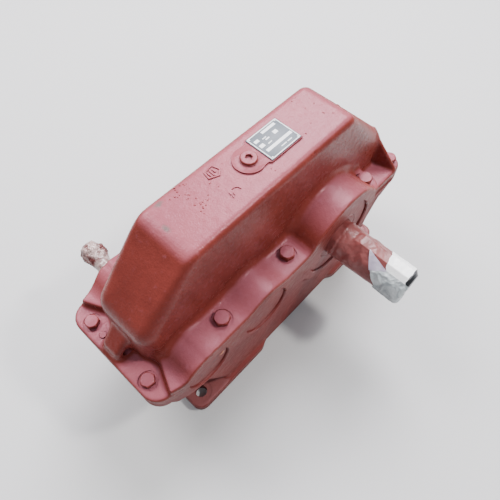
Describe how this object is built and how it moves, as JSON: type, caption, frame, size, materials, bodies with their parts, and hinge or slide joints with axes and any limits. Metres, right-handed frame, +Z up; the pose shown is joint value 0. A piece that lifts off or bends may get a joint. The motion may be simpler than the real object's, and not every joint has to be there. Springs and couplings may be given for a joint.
{
  "type": "industrial gearbox",
  "caption": "Two-stage helical gear reducer in a split cast casing, with parallel shafts running in tapered roller bearings.",
  "frame": {"origin": "on the ground, below the middle of the whole unit's box", "axes": "+X from the input shaft towards the output shaft, +Y along the shafts towards the input drive, +Z up"},
  "size_m": [0.4884, 0.3496, 0.3238],
  "materials": {
    "casing_paint": "satin",
    "cap_paint": "satin",
    "bolt_paint": "satin",
    "bare_steel": "satin",
    "bearing_steel": "polished",
    "gear_steel": "satin",
    "key_steel": "satin",
    "roller_bronze": "satin",
    "seal_rubber": "matte",
    "nameplate_metal": "satin",
    "wrap_film": "gloss",
    "wrap_film_painted": "gloss"
  },
  "bodies": {
    "casing": {"lower_housing": "casing_paint", "upper_housing": "casing_paint", "bearing_bolt_input_front": "bolt_paint", "bearing_bolt_input_back": "bolt_paint", "bearing_bolt_middle_front": "bolt_paint", "bearing_bolt_middle_back": "bolt_paint", "bearing_bolt_output_front": "bolt_paint", "bearing_bolt_output_back": "bolt_paint", "flange_bolt_left_front": "bolt_paint", "flange_bolt_left_back": "bolt_paint", "flange_bolt_right_front": "bolt_paint", "flange_bolt_right_back": "bolt_paint", "flange_nut_left_front": "bolt_paint", "flange_nut_left_back": "bolt_paint", "flange_nut_right_front": "bolt_paint", "flange_nut_right_back": "bolt_paint", "taper_pin_left": "bare_steel", "taper_pin_right": "bare_steel", "breather_plug": "bolt_paint", "nameplate": "nameplate_metal", "drain_plug": "bare_steel", "oil_level_plug": "bare_steel", "input_cap_front": "cap_paint", "input_cap_back": "cap_paint", "middle_cap_front": "cap_paint", "middle_cap_back": "cap_paint", "output_cap_front": "cap_paint", "output_cap_back": "cap_paint", "input_oil_seal": "seal_rubber", "output_oil_seal": "seal_rubber", "input_outer_race_front": "bearing_steel", "input_outer_race_back": "bearing_steel", "middle_outer_race_front": "bearing_steel", "middle_outer_race_back": "bearing_steel", "output_outer_race_front": "bearing_steel", "output_outer_race_back": "bearing_steel"},
    "input_shaft": {"input_pinion_shaft": "gear_steel", "input_key": "key_steel", "input_shaft_wrap": "wrap_film", "input_inner_race_front": "bearing_steel", "input_inner_race_back": "bearing_steel"},
    "middle_shaft": {"middle_pinion_shaft": "gear_steel", "middle_gear": "gear_steel", "middle_gear_key": "key_steel", "middle_inner_race_front": "bearing_steel", "middle_inner_race_back": "bearing_steel"},
    "output_shaft": {"output_shaft": "gear_steel", "output_gear": "gear_steel", "output_gear_key": "key_steel", "output_key": "key_steel", "output_shaft_wrap": "wrap_film", "output_inner_race_front": "bearing_steel", "output_inner_race_back": "bearing_steel"},
    "input_rollers_front": {"input_rollers_front": "roller_bronze"},
    "input_rollers_back": {"input_rollers_back": "roller_bronze"},
    "middle_rollers_front": {"middle_rollers_front": "roller_bronze"},
    "middle_rollers_back": {"middle_rollers_back": "roller_bronze"},
    "output_rollers_front": {"output_rollers_front": "roller_bronze"},
    "output_rollers_back": {"output_rollers_back": "roller_bronze"}
  },
  "joints": [
    {"name": "output_spin", "type": "hinge", "parent": "casing", "child": "output_shaft", "pos_m": [0.08125, 0.02525, 0.16], "axis": [0, 1, 0], "continuous": true},
    {"name": "middle_spin", "type": "hinge", "parent": "casing", "child": "middle_shaft", "pos_m": [-0.06875, 0.02525, 0.16], "axis": [0, 1, 0], "continuous": true},
    {"name": "input_spin", "type": "hinge", "parent": "casing", "child": "input_shaft", "pos_m": [-0.16875, 0.02525, 0.16], "axis": [0, 1, 0], "continuous": true},
    {"name": "input_rollers_front_roll", "type": "hinge", "parent": "casing", "child": "input_rollers_front", "pos_m": [-0.16875, 0.02525, 0.16], "axis": [0, 1, 0], "continuous": true},
    {"name": "input_rollers_back_roll", "type": "hinge", "parent": "casing", "child": "input_rollers_back", "pos_m": [-0.16875, 0.02525, 0.16], "axis": [0, 1, 0], "continuous": true},
    {"name": "middle_rollers_front_roll", "type": "hinge", "parent": "casing", "child": "middle_rollers_front", "pos_m": [-0.06875, 0.02525, 0.16], "axis": [0, 1, 0], "continuous": true},
    {"name": "middle_rollers_back_roll", "type": "hinge", "parent": "casing", "child": "middle_rollers_back", "pos_m": [-0.06875, 0.02525, 0.16], "axis": [0, 1, 0], "continuous": true},
    {"name": "output_rollers_front_roll", "type": "hinge", "parent": "casing", "child": "output_rollers_front", "pos_m": [0.08125, 0.02525, 0.16], "axis": [0, 1, 0], "continuous": true},
    {"name": "output_rollers_back_roll", "type": "hinge", "parent": "casing", "child": "output_rollers_back", "pos_m": [0.08125, 0.02525, 0.16], "axis": [0, 1, 0], "continuous": true}
  ],
  "couplings": [
    {"joint": "middle_spin", "follows": "output_spin", "ratio": -6.0714},
    {"joint": "input_spin", "follows": "output_spin", "ratio": 31.496},
    {"joint": "input_rollers_front_roll", "follows": "output_spin", "ratio": 13.069},
    {"joint": "input_rollers_back_roll", "follows": "output_spin", "ratio": 13.069},
    {"joint": "middle_rollers_front_roll", "follows": "output_spin", "ratio": -2.5357},
    {"joint": "middle_rollers_back_roll", "follows": "output_spin", "ratio": -2.5357},
    {"joint": "output_rollers_front_roll", "follows": "output_spin", "ratio": 0.42571},
    {"joint": "output_rollers_back_roll", "follows": "output_spin", "ratio": 0.42571}
  ]
}
